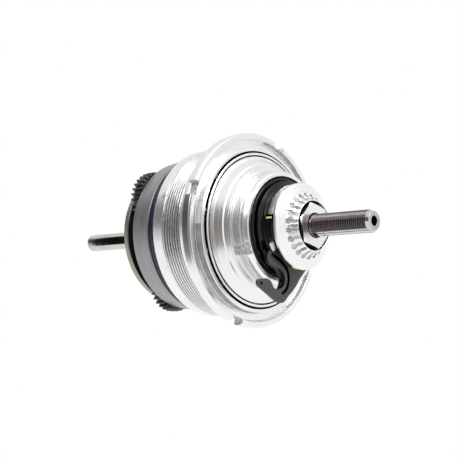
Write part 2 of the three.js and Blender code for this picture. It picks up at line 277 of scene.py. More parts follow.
def shader(name, color, roughness, metallic=0.0, **constants):
    """A new material and its node tree; constants go straight on the shader's sockets."""
    material = bpy.data.materials.new(name)
    material.use_nodes = True
    tree = material.node_tree
    bsdf = tree.nodes["Principled BSDF"]
    bsdf.inputs["Base Color"].default_value = (*color, 1)
    bsdf.inputs["Roughness"].default_value = roughness
    bsdf.inputs["Metallic"].default_value = metallic
    for socket, value in constants.items():
        bsdf.inputs[socket.replace("_", " ")].default_value = value
    return material, tree, bsdf


def node(tree, kind, **settings):
    made = tree.nodes.new(kind)
    for key, value in settings.items():
        setattr(made, key, value)
    return made


def math_node(tree, operation, a, b=None):
    """Output of a math node whose inputs are numbers or other nodes' outputs."""
    made = node(tree, "ShaderNodeMath", operation=operation)
    for socket, value in zip(made.inputs, (a, b)):
        if value is None:
            continue
        if isinstance(value, (int, float)):
            socket.default_value = value
        else:
            tree.links.new(value, socket)
    return made.outputs[0]


def ramp(tree, value, low, high, low_color, high_color):
    """One colour below a value, another above a higher one, and a blend between them."""
    made = node(tree, "ShaderNodeValToRGB")
    first, second = made.color_ramp.elements
    first.position, second.position = low, high
    first.color = (*low_color, 1)
    second.color = (*high_color, 1)
    tree.links.new(value, made.inputs[0])
    return made.outputs[0]


def noise(tree, vector, scale, detail=3.0):
    """Cloudy noise from 0 to 1, its scale counted per metre."""
    made = node(tree, "ShaderNodeTexNoise")
    made.inputs["Scale"].default_value = scale
    made.inputs["Detail"].default_value = detail
    tree.links.new(vector, made.inputs["Vector"])
    return made.outputs["Fac"]


def axle_coordinates(tree):
    """Object coordinates and, from them, the distance from the axle and the place along it, in metres."""
    place = node(tree, "ShaderNodeTexCoord").outputs["Object"]
    split = node(tree, "ShaderNodeSeparateXYZ")
    tree.links.new(place, split.inputs[0])
    x, y, z = split.outputs
    radius = math_node(tree, "SQRT", math_node(tree, "ADD", math_node(tree, "MULTIPLY", x, x),
                                               math_node(tree, "MULTIPLY", z, z)))
    return place, radius, y


def turning_marks(tree, scale):
    """Noise that changes along the axle and outwards, but not round it: the marks a lathe leaves."""
    place, radius, along = axle_coordinates(tree)
    mix = node(tree, "ShaderNodeCombineXYZ")
    tree.links.new(radius, mix.inputs[0])
    tree.links.new(along, mix.inputs[1])
    return place, noise(tree, mix.outputs[0], scale, 2.0)


def bump(tree, bsdf, height, strength, distance):
    """Fine relief in the shading, up to a distance in metres."""
    made = node(tree, "ShaderNodeBump")
    made.inputs["Strength"].default_value = strength
    made.inputs["Distance"].default_value = distance
    tree.links.new(height, made.inputs["Height"])
    tree.links.new(made.outputs[0], bsdf.inputs["Normal"])


def spread(tree, value, low, high):
    """Noise between 0 and 1 spread over a range."""
    made = node(tree, "ShaderNodeMapRange")
    made.inputs["From Min"].default_value = 0.3
    made.inputs["From Max"].default_value = 0.7
    made.inputs["To Min"].default_value = low
    made.inputs["To Max"].default_value = high
    tree.links.new(value, made.inputs["Value"])
    return made.outputs["Result"]


def turned_metal(name, color, roughness, marks=2600, relief=0.15, anisotropic=0.5, smudge=0.06):
    """Bright turned steel: lathe marks in roughness and bump, and faint smudges in the colour."""
    material, tree, bsdf = shader(name, color, roughness, 1.0, Anisotropic=anisotropic)
    place, fine = turning_marks(tree, marks)
    tree.links.new(spread(tree, fine, roughness * 0.75, roughness * 1.35), bsdf.inputs["Roughness"])
    dark = tuple(c * (1 - smudge) for c in color)
    smudges = noise(tree, place, 55, 4.0)
    tree.links.new(ramp(tree, smudges, 0.35, 0.65, dark, color), bsdf.inputs["Base Color"])
    bump(tree, bsdf, fine, relief, 0.00002)
    tangent = node(tree, "ShaderNodeTangent", direction_type="RADIAL", axis="Y")
    tree.links.new(tangent.outputs[0], bsdf.inputs["Tangent"])
    return material


def dark_steel(name, color, light, roughness, grain=900):
    """Hardened or oiled steel with cloudy colour and a fine grain, also used for painted shade."""
    material, tree, bsdf = shader(name, color, roughness, 0.85)
    place = node(tree, "ShaderNodeTexCoord").outputs["Object"]
    cloud = noise(tree, place, 180, 5.0)
    tree.links.new(ramp(tree, cloud, 0.35, 0.68, color, light), bsdf.inputs["Base Color"])
    gloss = spread(tree, noise(tree, place, 420), roughness * 0.8, roughness * 1.3)
    tree.links.new(gloss, bsdf.inputs["Roughness"])
    bump(tree, bsdf, noise(tree, place, grain * 4, 2.0), 0.25, 0.00003)
    return material


def matt_metal(name, color, light, roughness, metallic, grain):
    """Sintered or coated metal with a fine, even grain."""
    material, tree, bsdf = shader(name, color, roughness, metallic)
    place = node(tree, "ShaderNodeTexCoord").outputs["Object"]
    speckle = noise(tree, place, grain, 3.0)
    tree.links.new(ramp(tree, speckle, 0.3, 0.7, color, light), bsdf.inputs["Base Color"])
    gloss = spread(tree, noise(tree, place, 90), roughness * 0.88, roughness * 1.1)
    tree.links.new(gloss, bsdf.inputs["Roughness"])
    bump(tree, bsdf, speckle, 0.35, 0.00004)
    return material


def moulded_plastic(name, color, roughness):
    """Moulded plastic: an even gloss with faint flow marks and a trace of dust."""
    material, tree, bsdf = shader(name, color, roughness, Specular_IOR_Level=0.35)
    place = node(tree, "ShaderNodeTexCoord").outputs["Object"]
    cloud = noise(tree, place, 70, 4.0)
    light = tuple(c * 1.7 + 0.002 for c in color)
    tree.links.new(ramp(tree, cloud, 0.45, 0.75, color, light), bsdf.inputs["Base Color"])
    gloss = spread(tree, noise(tree, place, 260), roughness * 0.8, roughness * 1.35)
    tree.links.new(gloss, bsdf.inputs["Roughness"])
    bump(tree, bsdf, noise(tree, place, 1500, 2.0), 0.1, 0.00002)
    return material


def thread_steel(name, radius, depth, root, crest, roughness):
    """Threaded steel: roots painted dark as painted shade in the thread's grooves, and crests lighter where
    the distance from the axle is largest.
    """
    material, tree, bsdf = shader(name, root, roughness, 1.0)
    place, distance, _ = axle_coordinates(tree)
    height = math_node(tree, "DIVIDE", distance, radius * MM)
    low, high = 1 - 0.55 * depth / radius, 1 - 0.1 * depth / radius
    tree.links.new(ramp(tree, height, low, high, root, crest), bsdf.inputs["Base Color"])
    gloss = spread(tree, noise(tree, place, 600), roughness * 0.75, roughness * 1.4)
    tree.links.new(gloss, bsdf.inputs["Roughness"])
    bump(tree, bsdf, noise(tree, place, 3000, 2.0), 0.12, 0.00002)
    return material


polished = turned_metal("polished_steel", (0.93, 0.93, 0.935), 0.24)
bright_washer = turned_metal("washer_steel", (0.92, 0.92, 0.93), 0.3, marks=1500, relief=0.1, anisotropic=0.2)
satin = turned_metal("bearing_steel", (0.72, 0.73, 0.74), 0.3)
stub_steel = turned_metal("axle_steel", (0.66, 0.66, 0.62), 0.12, marks=900, anisotropic=0.2, smudge=0.2)
plate_steel = turned_metal("plate_steel", (0.40, 0.39, 0.34), 0.35, marks=700, anisotropic=0.3, smudge=0.15)
sintered = turned_metal("sintered_steel", (0.37, 0.36, 0.37), 0.38,
                        marks=1200, relief=0.3, anisotropic=0.4, smudge=0.12)
# painted shade: the thread roots of the axle and the barrel are painted darker than the crests
thread = thread_steel("thread_steel", AXLE_RADIUS, THREAD_DEPTH,
                      root=(0.003, 0.0026, 0.003), crest=(0.20, 0.165, 0.182), roughness=0.17)
barrel_thread = thread_steel("barrel_thread_steel", BARREL_RADIUS, BARREL_DEPTH,
                             root=(0.20, 0.21, 0.21), crest=(0.9, 0.9, 0.9), roughness=0.3)
ribbed = matt_metal("ribbed_steel", (0.30, 0.31, 0.31), (0.85, 0.85, 0.85), 0.35, 0.95, 700)
gear = dark_steel("gear_steel", (0.050, 0.058, 0.050), (0.16, 0.175, 0.155), 0.35)
pin_steel = dark_steel("pin_steel", (0.10, 0.10, 0.105), (0.2, 0.2, 0.21), 0.3)
# painted shade: dark steel painted into the deeper part of the washer's dimples
dimple_shade = dark_steel("dimple_shade_steel", (0.26, 0.28, 0.285), (0.66, 0.68, 0.69), 0.45)
notch_steel = matt_metal("notch_steel", (0.24, 0.24, 0.245), (0.85, 0.85, 0.85), 0.5, 0.2, 900)
# darker steel; on the flange groove's walls it is painted shade
recess_steel = dark_steel("recess_steel", (0.42, 0.42, 0.41), (0.58, 0.58, 0.57), 0.35)
# painted shade: a near-black material painted into bores, gaps, recesses and side walls where shade falls
shadow = dark_steel("painted_shade_black", (0.003, 0.003, 0.003), (0.008, 0.008, 0.008), 0.5)
arm_gray = matt_metal("arm_gray", (0.036, 0.036, 0.041), (0.056, 0.056, 0.064), 0.45, 0.1, 1800)
black_plastic = moulded_plastic("black_plastic", (0.0022, 0.0022, 0.0026), 0.17)
navy_plastic = moulded_plastic("navy_plastic", (0.016, 0.020, 0.046), 0.24)
index_paint = moulded_plastic("index_paint", (0.80, 0.70, 0.22), 0.5)

SLOT_MATERIALS = {
    "polished_steel": polished, "washer_steel": bright_washer, "bearing_steel": satin,
    "axle_steel": stub_steel, "spring_steel": pin_steel, "gear_steel": gear,
    "sintered_steel": sintered, "plate_steel": plate_steel,
    "black_plastic": black_plastic, "navy_plastic": navy_plastic, "arm_gray": arm_gray,
}

# ---- axle and what is fixed on it ----

FLAT_START = 35.0
FLAT_RUNOUT = 0.5
FLAT_SHADE_ANGLE = math.radians(245)            # a band along the flat is painted dark here, as painted shade
FLAT_SHADE_HALF_WIDTH = math.radians(7)
THREAD_START = 34.4
THREAD_END = 63.6
CENTRE_HOLE_RADIUS = 2.25


def thread_wave(station, angle, pitch):
    """0 at a root and 1 at a crest of a right-hand thread, with rounded crests."""
    phase = (station / pitch + angle / TAU) % 1
    return min(1.0, 1.25 * (1 - abs(2 * phase - 1)))


def fade(value, start, end, length):
    """1 well inside a range and 0 at its ends."""
    return max(0.0, min(1.0, (value - start) / length, (end - value) / length))


def axle_relief(s, r, angle):
    """The axle's surface with its thread and, on the drive side, its flats."""
    radius = r
    if r > AXLE_RADIUS - 0.01 and THREAD_START < s < THREAD_END + 1.5:
        envelope = fade(s, THREAD_START, THREAD_END + 1.5, 1.2)
        radius -= THREAD_DEPTH * envelope * (1 - thread_wave(s, angle, THREAD_PITCH))
    if s < FLAT_START - FLAT_RUNOUT:
        return s, radius
    lift = max(0.0, (FLAT_START - s) / FLAT_RUNOUT) ** 2
    level = AXLE_FLAT_LEVEL + (AXLE_RADIUS - AXLE_FLAT_LEVEL) * lift
    for flat in AXLE_FLAT_ANGLES:
        towards = math.cos(angle - flat)
        if towards * radius > level:
            radius = level / towards
    return s, radius


def on_flat(station, radius, angle, normal):
    """True on the flats of the axle, away from the thread around them."""
    return station > THREAD_START and any(radius * math.cos(angle - flat) > AXLE_FLAT_LEVEL - 0.03
                                          and normal.dot(Vector((math.cos(flat), 0, math.sin(flat)))) > 0.99
                                          for flat in AXLE_FLAT_ANGLES)


def build_axle():
    r = AXLE_RADIUS
    collar = 7.1
    left, right = AXLE_LEFT_END, AXLE_DRIVE_END
    body = rounded([
        (left, 0, 0), (left, 3.4, 0.6), (left + 1.2, LEFT_STUB_RADIUS, 0.8),
        (-58.6, LEFT_STUB_RADIUS), (-57.9, r),
        (-46.6, r), (-46.6, collar), (-45.2, collar), (-45.2, r),
        (-36.2, r), (-36.2, collar), (-34.5, collar), (-34.5, r),
        (-12.3, r), (-12.3, collar), (-10.6, collar), (-10.6, r), (THREAD_START, r, 0),
        (right - 1.4, r, 0.3), (right, 4.1, 0.3),
        (right, CENTRE_HOLE_RADIUS, 0.2), (right - 2.6, 1.4, 0.2), (right - 2.8, 0, 0),
    ])
    body = subdivided(body, THREAD_START, right - 1, THREAD_PITCH / 10)
    mesh = revolved_mesh("axle_detail", body, 120, axle_relief)
    piece = piece_for(["axle"], "axle_unit", "axle_detail", mesh, stub_steel, 50)
    paint_faces(piece, thread, lambda s, r, angle, normal: THREAD_START < s < right - 0.9 and r > 3.5)
    paint_faces(piece, shadow, lambda s, r, angle, normal: s > right - 4 and r < CENTRE_HOLE_RADIUS - 0.05)
    paint_faces(piece, stub_steel, on_flat)
    # painted shade: a dark band along the flat, in pin steel
    paint_faces(piece, pin_steel, lambda s, r, angle, normal: on_flat(s, r, angle, normal)
                and math.cos(angle - FLAT_SHADE_ANGLE) > math.cos(FLAT_SHADE_HALF_WIDTH))
    paint_faces(piece, recess_steel,
                lambda s, r, angle, normal: s > right - 0.2 and r > CENTRE_HOLE_RADIUS - 0.05)


SERRATIONS = 22
SERRATION_ROWS = ((13.7, 1.45, 1.1), (12.1, 0.95, 0.75))      # radius, half length, half width
DIMPLE_DEPTH = 0.55
WASHER_RECESS = 11.0


def dimple_depth(s, r, angle):
    """Depth, from 0 to 1, of the dimples pressed into the face, which lie in two rows all round it."""
    if s < 27.8 or r < WASHER_RECESS + 0.1:
        return 0.0
    offset = ((angle / TAU * SERRATIONS) % 1 - 0.5) * TAU / SERRATIONS
    depth = 0.0
    for radius, along, across in SERRATION_ROWS:
        distance = math.hypot(offset * radius / along, (r - radius) / across)
        depth = max(depth, 1.7 - 1.7 * distance ** 3)
    return min(1.0, depth)


def washer_relief(s, r, angle):
    return s - DIMPLE_DEPTH * dimple_depth(s, r, angle), r


def build_lock_washer():
    outline = rounded([
        (25.3, 5.5), (25.3, 18.5, 0.4), (25.9, 19.4, 0.5), (27.0, 19.4, 0.5), (27.5, 18.8, 0.6),
        (29.3, 14.3, 2), (31.4, 12.4, 0.8), (33.3, 11.7, 0.5), (33.6, 11.3, 0.2), (33.3, WASHER_RECESS),
        (28.3, WASHER_RECESS), (28.3, 5.5),
    ], 0.15)
    outline = subdivided(outline, 27.8, 33.0, 0.2)
    mesh = revolved_mesh("lock_washer_detail", outline, 440, washer_relief)
    piece = piece_for(["lock_washer"], "axle_unit", "lock_washer_detail", mesh,
                      bright_washer, 50)
    paint_faces(piece, shadow, lambda s, r, angle, normal: r < WASHER_RECESS + 0.05 and s < 33.1
                and math.cos(angle - math.radians(180)) > -0.5)
    # painted shade: the deeper part of each dimple is painted dark
    paint_faces(piece, dimple_shade, lambda s, r, angle, normal: dimple_depth(s + 0.3, r, angle) > 0.45)
    disc_mark = block_mesh((26.5, 19.1), (1.2, 1.2, 3.2), math.radians(250), 0.3)
    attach(finish_mesh("disc_mark", disc_mark, index_paint), "axle_unit")


NUT_CORNER_RADIUS = 10.6
NUT_TURN = math.radians(42)


def nut_relief(s, r, angle):
    """The outside of the nut is a hexagon whose corners are cut back by a 30 degree chamfer."""
    if r < 7:
        return s, r
    sixth = TAU / 6
    offset = (angle - NUT_TURN) % sixth - sixth / 2
    hexagon = NUT_CORNER_RADIUS * math.cos(sixth / 2) / math.cos(offset)
    chamfer = 9.5 + (34.0 - s) * 1.9
    back = 9.6 + (s - 28.6) * 1.9
    return s, min(r * hexagon / NUT_CORNER_RADIUS, chamfer, back)


def build_locknut():
    levels = [28.6 + 5.4 * k / 24 for k in range(25)]
    outline = [(28.6, 5.3), (28.6, 7.5)]
    outline += [(s, NUT_CORNER_RADIUS) for s in levels]
    outline += [(34.0, 7.5), (34.0, 5.7), (33.7, 5.3)]
    mesh = revolved_mesh("locknut_detail", outline, 180, nut_relief)
    piece = piece_for(["hex_locknut"], "axle_unit", "locknut_detail", mesh, bright_washer, 25)
    paint_faces(piece, shadow, lambda s, r, angle, normal: r < 5.6)


# ---- shifter ----

ARM_BACK = 21.7
ARM_FRONT = 23.4
INDEX_RADIUS = 18.9     # outside of the index wall and of the ribbed ring beside it


def build_pulley():
    outline = rounded([
        (17.2, 7.6), (17.2, 20.2, 0.3), (17.7, 21.0, 0.35), (18.5, 21.0, 0.35), (19.0, 19.9, 0.5),
        (19.6, 18.4, 0.6), (20.5, 18.4, 0.5), (20.8, 19.1, 0.2), (21.4, 19.1, 0.25), (21.4, 15.4),
        (24.9, 15.4, 0.4), (24.9, 12.6, 0.3), (18.4, 12.6), (18.4, 7.6),
    ], 0.2)
    body = revolved_mesh("pulley_body", outline, 160)
    wall = plate_mesh("index_wall", [sector(14.8, INDEX_RADIUS, 166, 202)], 21.2, 24.9, 0.25)
    guide = plate_mesh("cable_liner", [spline(LINER_INNER) + spline(LINER_OUTER)], 19.4, 21.4, 0.2)
    piece_for(["cable_pulley"], "shifter", "cable_pulley_detail",
              joined("pulley", body, wall, guide), black_plastic)
    mark = block_mesh((22.9, INDEX_RADIUS - 0.15), (3.3, 0.4, 0.8), math.radians(167.5), 0.1)
    yellow = finish_mesh("index_mark", mark, index_paint)
    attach(yellow, "shifter")


def sector(inner, outer, start, end, step=3):
    """Outline of a ring sector between two angles in degrees."""
    count = math.ceil((end - start) / step)
    angles = [math.radians(start + (end - start) * k / count) for k in range(count + 1)]
    return [polar(outer, a) for a in angles] + [polar(inner, a) for a in reversed(angles)]


def build_guide_ring():
    """Bright ring with fine ribs round its outside."""
    inner, outer, start, end = 15.8, INDEX_RADIUS, -66, 164
    ribs = []
    step = 1.5
    for k in range(int((end - start) / step)):
        for part, radius in ((0.0, outer - 0.14), (0.5, outer)):
            ribs.append(polar(radius, math.radians(start + (k + part) * step)))
    inside = [polar(inner, math.radians(end - (end - start) * k / 60)) for k in range(61)]
    mesh = plate_mesh("guide_ring_detail", [ribs + inside], 21.8, 24.9, 0.08, 1)
    piece_for(["guide_ring"], "shifter", "guide_ring_detail", mesh, ribbed, 25)


def spline(points, steps=8):
    """Points on an open Catmull-Rom curve through the given ones."""
    result = []
    last = len(points) - 1
    for i in range(last):
        p0, p1, p2, p3 = (Vector(points[max(0, min(last, i + k))]) for k in (-1, 0, 1, 2))
        for k in range(steps):
            t = k / steps
            p = 0.5 * (2 * p1 + (p2 - p0) * t + (2 * p0 - 5 * p1 + 4 * p2 - p3) * t ** 2
                       + (3 * p1 - p0 - 3 * p2 + p3) * t ** 3)
            result.append(tuple(p))
    result.append(tuple(points[-1]))
    return result


def ribbon(points, widths):
    """Outline of a band along a curve, its width changing evenly along it."""
    left, right = [], []
    last = len(points) - 1
    for i, p in enumerate(points):
        before, after = Vector(points[max(0, i - 1)]), Vector(points[min(last, i + 1)])
        side = (after - before).normalized()
        side = Vector((-side.y, side.x)) * (widths[0] + (widths[1] - widths[0]) * i / last) / 2
        left.append(tuple(Vector(p) + side))
        right.append(tuple(Vector(p) - side))
    return left + right[::-1]


ARM_HOOK = [(-26.2, -22.3), (-22, -22.3), (-19.4, -23.5), (-18.2, -25.6), (-16.4, -27.1), (-14.2, -27.2),
            (-11.2, -26), (-10, -23.4), (-10.5, -20.8), (-12.8, -18.6), (-17.2, -17.2), (-20.4, -15.6),
            (-21.2, -13.2), (-19.8, -10.7), (-17, -8.4)]
ARM_SLOT = [(-18.2, -11.9), (-14.6, -13.5), (-10.9, -15.8), (-8.4, -18.6), (-7.4, -21.7), (-7.8, -24.9),
            (-9.3, -27.6), (-12.4, -29.5)]
HOOK_EYE = (-25.8, -24.2)
HOOK_EYE_RADIUS = 0.75
LINER_INNER = [(-13.5, -10.5), (-15.4, -16.4), (-11.8, -19.2), (-10, -22.4), (-10.6, -25.8), (-13, -28)]
LINER_OUTER = [(-13.6, -30.6), (-9.6, -30), (-6, -26.6), (-4.8, -22), (-5.5, -17)]


def build_arm():
    """Flat arm with a pointed tip; a curved slot parts its hooked inner strip from the outer plate."""
    around = [polar(15.75, math.radians(206 + 81 * k / 12)) for k in range(13)]
    tip = [(5.4, -19.2), (-9.9, -32.2), (-11.4, -33.2), (-13.2, -33.4), (-15.4, -32.9)]
    nose = [(-26.8, -25.6), (-27.7, -24.7), (-27.9, -23.6), (-27.4, -22.7)]
    outline = around + tip + nose + spline(ARM_HOOK)
    slot = ribbon(spline(ARM_SLOT), (1.7, 1.5))
    eye = circle(HOOK_EYE_RADIUS, 24, *HOOK_EYE)
    mesh = plate_mesh("arm_plate", [outline, slot, eye], ARM_BACK, ARM_FRONT, 0.16)
    arm = piece_for(["shift_arm"], "shifter", "shift_arm_detail", mesh, arm_gray)
    paint_faces(arm, shadow, lambda s, r, angle, normal: abs(normal.y) < 0.3
                and (r < 31 or math.dist(polar(r, angle), HOOK_EYE) < HOOK_EYE_RADIUS + 0.15))
    lug = block_mesh((24.2, 19.6), (1.0, 3.6, 4.0), math.radians(205), 0.3)
    piece_for(["spring_lug"], "shifter", "spring_lug_detail", lug, satin)


def build_spring():
    """Round wire wound into the return spring."""
    turns, radius, start, end, wire = 2.5, 10.6, 19.4, 23.8, 0.55
    curve = bpy.data.curves.new("return_spring_wire", "CURVE")
    curve.dimensions = "3D"
    curve.bevel_depth = wire * MM
    curve.bevel_resolution = 4
    curve.use_fill_caps = True
    path = curve.splines.new("POLY")
    count = 120
    path.points.add(count)
    for k in range(count + 1):
        t = k / count
        x, z = polar(radius, TAU * turns * t)
        path.points[k].co = (*at(start + (end - start) * t, x, z), 1)
    holder = bpy.data.objects.new("return_spring_curve", curve)
    bpy.context.scene.collection.objects.link(holder)
    depsgraph = bpy.context.evaluated_depsgraph_get()
    mesh = bpy.data.meshes.new_from_object(holder.evaluated_get(depsgraph))
    bpy.data.objects.remove(holder)
    piece_for(["return_spring"], "axle_unit", "return_spring_detail", mesh, pin_steel, 60)


# ---- driver ----

SEAT_NOTCH_ANGLES = (80, 200, 320)
SEAT_NOTCH_WIDTH = 5.0


def in_notch(angle, radius):
    """True inside the width of a lug notch and its rounded edges."""
    reach = SEAT_NOTCH_WIDTH / 2 + 0.2
    return any(math.cos(angle - math.radians(a)) > math.cos(reach / radius) for a in SEAT_NOTCH_ANGLES)


def build_driver():
    seat = SEAT_RADIUS
    outline = rounded([
        (-9.9, 9), (-9.9, 26, 0.6), (-7.4, 30.4, 0.6), (0.3, 30.4), (0.3, 33.9),
        (1.4, 33.9, 0), (1.9, 33.9, 0.35), (3.2, 32.4, 1.2), (5.9, 30.3, 0.5), (6.3, 29.6, 0.5),
        (7.7, 28.45, 0.3), (8.75, 28.3, 0.25), (8.8, seat, 0.25),
        (13.3, seat, 0.2), (13.3, seat - 1.4, 0.12), (14.3, seat - 1.4, 0.12), (14.3, 26.2, 0.2),
        (16.1, 25.5, 0.3), (16.6, 24.9, 0.3), (16.6, 23.4, 0.2), (12, 23.3), (12, 15.8), (7, 15.8), (7, 9),
    ], 0.2)
    body = revolved_mesh("driver_body", outline, 256)
    notches = [block_mesh((12.9, seat + 1.2), (8.2, 5.4, SEAT_NOTCH_WIDTH), math.radians(a), 0.5)
               for a in SEAT_NOTCH_ANGLES]
    mesh = boolean(body, notches)
    piece = piece_for(["driver"], "driver_unit", "driver_detail", mesh, polished)
    paint_faces(piece, shadow, lambda s, r, angle, normal: s < 1.45 and r > 30)
    paint_faces(piece, notch_steel,
                lambda s, r, angle, normal: 8.9 < s < 16.4 and 25.2 < r < 26.9 and in_notch(angle, r))


def build_dust_cap():
    outline = rounded([
        (12.3, 11.2), (12.3, 23.0), (15.7, 23.0, 0.4), (16.6, 22.5, 0.5), (16.9, 21.6, 0.3),
        (16.4, 20.9, 0.3),
        (16.4, 13.0, 0.4), (16.9, 12.4, 0.2), (16.9, 11.2),
    ], 0.2)
    mesh = revolved_mesh("dust_cap_detail", outline, 192)
    piece_for(["dust_cap"], "driver_unit", "dust_cap_detail", mesh, black_plastic)


# ---- far side: second ring gear, dark band, end plate and far planets ----

STAGE_2_RING = dict(teeth=45, module=1.25, start=-44.8, end=-36.1)
FAR_STAGE = dict(teeth=32, module=0.8, orbit=24.0, sun=28, start=-52.6, end=-47.2, pin=3.5)
PRESSURE_ANGLE = math.radians(20)


def involute(angle):
    return math.tan(angle) - angle


def gear_outline(teeth, module, phase, internal=False, points=5):
    """Tooth outline of a spur gear; an internal gear's teeth point inwards."""
    sign = -1 if internal else 1
    pitch = module * teeth / 2
    base = pitch * math.cos(PRESSURE_ANGLE)
    tip = pitch + sign * 0.95 * module
    root = pitch - sign * 1.2 * module
    backlash = 0.09 * module
    half = (TAU * pitch / teeth / 4 - backlash) / pitch

    def half_angle(radius):
        flank = math.acos(min(1.0, base / max(radius, base)))
        return half + sign * (involute(PRESSURE_ANGLE) - involute(flank))

    radii = [root + (tip - root) * k / (points - 1) for k in range(points)]
    outline = []
    for i in range(teeth):
        centre = phase + TAU * i / teeth
        outline += [polar(r, centre - half_angle(r)) for r in radii]
        outline += [polar(r, centre + half_angle(r)) for r in reversed(radii)]
    return outline


def circle(radius, count, x=0.0, z=0.0):
    """Points of a circle, with its centre across the axle."""
    angles = [TAU * k / count for k in range(count)]
    return [(x + radius * math.cos(a), z + radius * math.sin(a)) for a in angles]


def far_planet_places():
    """Place and turn of each far planet, in mesh with a sun gear that has a tooth at angle 0."""
    for i in range(3):
        angle = FIRST_PLANET_ANGLE + TAU * i / 3
        teeth, sun = FAR_STAGE["teeth"], FAR_STAGE["sun"]
        turn = angle + math.pi - math.pi / teeth + angle * sun / teeth
        yield i + 1, angle, turn


def build_far_planets():
    start, end, pin = FAR_STAGE["start"], FAR_STAGE["end"], FAR_STAGE["pin"]
    for number, angle, turn in far_planet_places():
        x, z = polar(FAR_STAGE["orbit"], angle)
        teeth = [(x + a, z + b) for a, b in gear_outline(FAR_STAGE["teeth"], FAR_STAGE["module"], turn)]
        mesh = plate_mesh(f"far_planet_{number}", [teeth, circle(pin + 0.25, 48, x, z)], start, end, 0.1, 1)
        name = f"planet_gear_3_{number}"
        piece_for([name], f"planet_3_{number}", f"far_planet_{number}_detail", mesh, gear, 25)
        rivet = pin_mesh(f"far_pin_{number}", pin, -57.2, -45.2, x, z)
        piece_for([f"planet_pin_3_{number}"], "third_unit", f"far_pin_{number}_detail",
                  rivet, pin_steel)


def pin_mesh(name, radius, start, end, x, z):
    """A round pin with chamfered ends, beside the axle."""
    outline = rounded([(start, 0, 0), (start, radius - 0.4), (start + 0.4, radius), (end - 0.4, radius),
                       (end, radius - 0.4), (end, 0, 0)], 0.1)
    mesh = revolved_mesh(name, outline, 48)
    shift = Vector((x * MM, 0, z * MM))
    for v in mesh.vertices:
        v.co += shift
    return mesh


def build_ring_gear_2():
    cup = revolved_mesh("ring_gear_2_cup", rounded([
        (-46.6, 9.5), (-46.6, 35.0, 0.3), (-46.0, 35.7, 0.3), (-35.0, 36.9, 0.15), (-34.6, 36.6, 0.1),
        (-34.6, 32.4), (-33.7, 32.4), (-33.7, 30.6), (-45, 30.6), (-45, 9.5),
    ]), 192)
    holes = [pin_mesh("hole", FAR_STAGE["pin"] + 0.25, -48, -44, *polar(FAR_STAGE["orbit"], angle))
             for _, angle, _ in far_planet_places()]
    cup = boolean(cup, holes)
    ring = STAGE_2_RING
    teeth = gear_outline(ring["teeth"], ring["module"], stage_2_ring_phase(), internal=True)
    band = plate_mesh("ring_gear_2_teeth", [circle(30.9, 180), teeth], ring["start"], ring["end"], 0.08, 1)
    piece_for(["ring_gear_2"], "third_unit", "ring_gear_2_detail",
              joined("ring_gear_2", cup, band), sintered)


def stage_2_ring_phase():
    """Turn of the second ring gear that meshes with its planets (15 teeth, as its sun has)."""
    sun = planet = 15
    angle = FIRST_PLANET_ANGLE
    turn = angle + math.pi - math.pi / planet + angle * sun / planet
    return angle - TAU / STAGE_2_RING["teeth"] * (0.5 + (angle - turn) * planet / TAU)


def build_seal_band():
    outline = rounded([
        (-34.3, 32.7), (-34.3, 36.4, 0.1), (-30.1, 36.4, 0.3), (-29.6, 35.9, 0.2), (-29.6, 32.7),
    ])
    mesh = revolved_mesh("seal_band_detail", outline, 192)
    piece_for(["seal_band"], "third_unit", "seal_band_detail", mesh, navy_plastic)


def build_end_plate():
    """Pressed plate with a raised rim, a stiffening step and holes for the pins."""
    outline = rounded([
        (-57.0, 5.8), (-57.0, 12.0, 1.0), (-56.4, 13.0, 1.0), (-56.4, 17.0, 1.0), (-57.0, 18.0, 1.0),
        (-57.0, 31.2, 0.4), (-56.5, 31.8, 0.3), (-54.4, 31.8, 0.3), (-54.0, 31.4, 0.2), (-54.0, 5.8),
    ])
    body = revolved_mesh("end_plate_body", outline, 192)
    holes = [pin_mesh("hole", FAR_STAGE["pin"] + 0.12, -58, -53, *polar(FAR_STAGE["orbit"], angle))
             for _, angle, _ in far_planet_places()]
    mesh = boolean(body, holes)
    piece_for(["end_plate"], "third_unit", "end_plate_detail", mesh, plate_steel)


# ---- ball ring ----

SPANNER_NOTCH_ANGLES = (65, 155, 248, 335)
BARREL_THREAD = (-22.6, -11.2)


def barrel_relief(s, r, angle):
    """The barrel's surface with its thread, which fades out at both ends."""
    start, end = BARREL_THREAD
    if r < BARREL_RADIUS - 0.01 or not start < s < end:
        return s, r
    wave = thread_wave(s, angle, BARREL_PITCH)
    return s, r - BARREL_DEPTH * fade(s, start, end, 0.9) * (1 - wave)


# middles of the arcs of painted shade on the groove's outer and inner walls
OUTER_WALL_MIDDLE = math.radians(8)
INNER_WALL_MIDDLE = math.radians(228)


def on_shaded_groove_wall(station, radius, angle, normal):
    """True on the parts of the flange groove's two walls that are painted darker, as painted shade in the
    groove.
    """
    if not -2.7 < station < 0.7 or abs(normal.y) > 0.4:
        return False
    outer = 41.6 < radius < 42.4 and math.cos(angle - OUTER_WALL_MIDDLE) > 0.35
    inner = 38 < radius < 38.6 and math.cos(angle - INNER_WALL_MIDDLE) > 0.6
    return outer or inner


